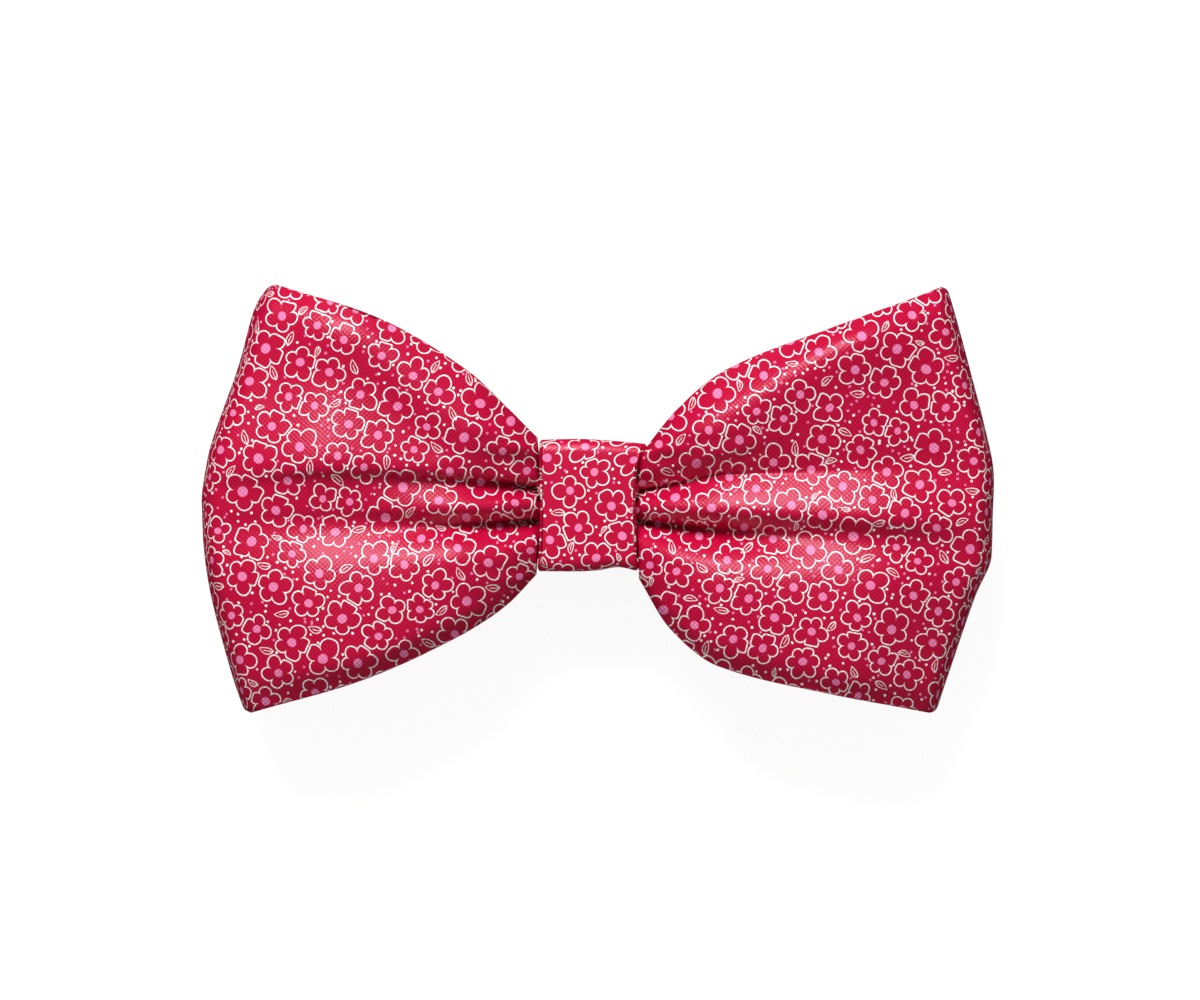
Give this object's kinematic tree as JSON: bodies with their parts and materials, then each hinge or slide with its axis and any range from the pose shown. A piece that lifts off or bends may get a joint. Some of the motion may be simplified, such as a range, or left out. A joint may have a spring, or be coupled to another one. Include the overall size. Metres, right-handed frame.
{
  "type": "pet bow tie",
  "caption": "Soft pet bow tie: one folded cloth strip in two open loops, gathered by a cloth band, with an elastic loop behind that slides over a collar.",
  "frame": {"origin": "on the surface that the bow lies on, under the middle of its outline", "axes": "+X from wing to wing, +Y up as worn, +Z the way the bow faces"},
  "size_m": [0.1201, 0.0653, 0.0269],
  "materials": {
    "bow_cloth": "smooth cotton sateen, crimson with a small outlined blossom print",
    "band_cloth": "the same cloth as the bow",
    "elastic": "woven black elastic webbing"
  },
  "bodies": {
    "root": {"bow_strip": "bow_cloth", "knot_band": "band_cloth", "collar_elastic": "elastic"}
  },
  "joints": []
}
